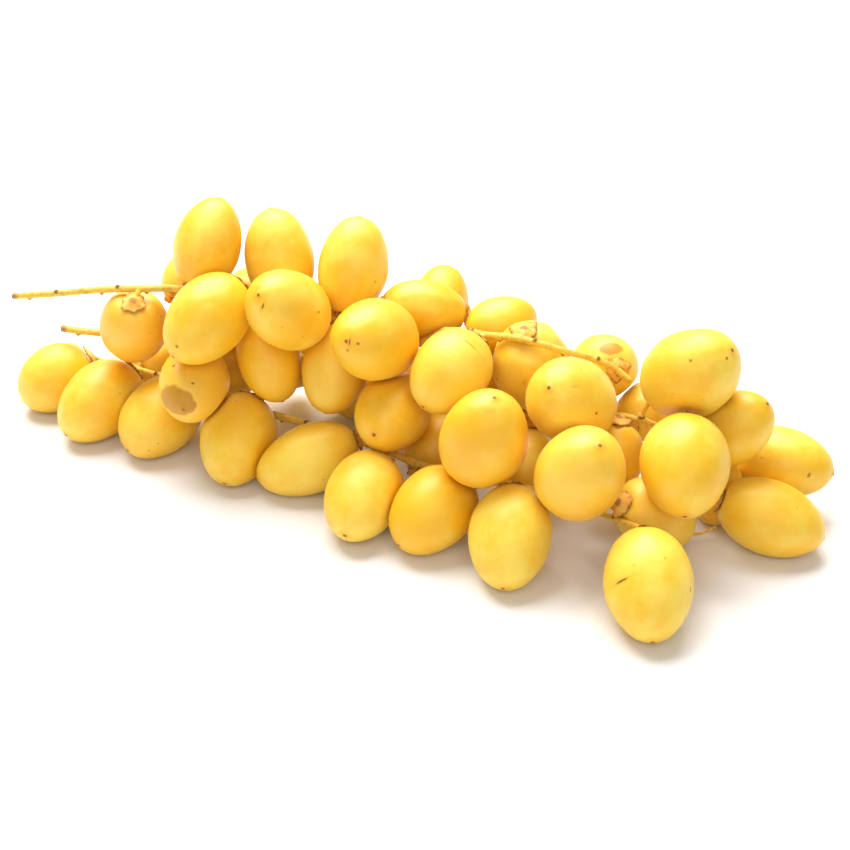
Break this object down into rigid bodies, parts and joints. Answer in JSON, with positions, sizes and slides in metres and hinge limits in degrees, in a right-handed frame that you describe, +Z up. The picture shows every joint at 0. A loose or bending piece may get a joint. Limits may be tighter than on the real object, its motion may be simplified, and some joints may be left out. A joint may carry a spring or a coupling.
{
  "type": "bunch of fresh dates",
  "caption": "Picked bunch of fresh yellow dates on cut fruit strands, lying on its side; each date sits against a small woody cup on its strand.",
  "frame": {"origin": "middle of the bunch's footprint on the surface that it lies on", "axes": "+X along the bunch, from the cut ends of the strands to their tips; +Y across it, away from the open front; +Z up from the surface"},
  "size_m": [0.2922, 0.1228, 0.0868],
  "materials": {
    "date_skin": "smooth waxy fruit skin, soft sheen",
    "strand": "dry fibrous stalk"
  },
  "bodies": {
    "root": {"date_a01": "date_skin", "date_a02": "date_skin", "date_a03": "date_skin", "date_a04": "date_skin", "date_a05": "date_skin", "date_a06": "date_skin", "date_a07": "date_skin", "date_a08": "date_skin", "date_a09": "date_skin", "date_a10": "date_skin", "date_a11": "date_skin", "date_a12": "date_skin", "date_a13": "date_skin", "date_a14": "date_skin", "date_a15": "date_skin", "date_a16": "date_skin", "date_a17": "date_skin", "date_a18": "date_skin", "date_a19": "date_skin", "date_b01": "date_skin", "date_b02": "date_skin", "date_b03": "date_skin", "date_b04": "date_skin", "date_b05": "date_skin", "date_b06": "date_skin", "date_b07": "date_skin", "date_b08": "date_skin", "date_b09": "date_skin", "date_b10": "date_skin", "date_b11": "date_skin", "date_b12": "date_skin", "date_b13": "date_skin", "date_b14": "date_skin", "date_b15": "date_skin", "date_b16": "date_skin", "date_b17": "date_skin", "date_b18": "date_skin", "date_b19": "date_skin", "date_c01": "date_skin", "date_c02": "date_skin", "date_c03": "date_skin", "date_c04": "date_skin", "date_c05": "date_skin", "date_c06": "date_skin", "date_c07": "date_skin", "date_c08": "date_skin", "date_c09": "date_skin", "date_c10": "date_skin", "date_c11": "date_skin", "date_c12": "date_skin", "date_c13": "date_skin", "date_c14": "date_skin", "strand_a": "strand", "strand_b": "strand", "strand_c": "strand"}
  },
  "joints": []
}
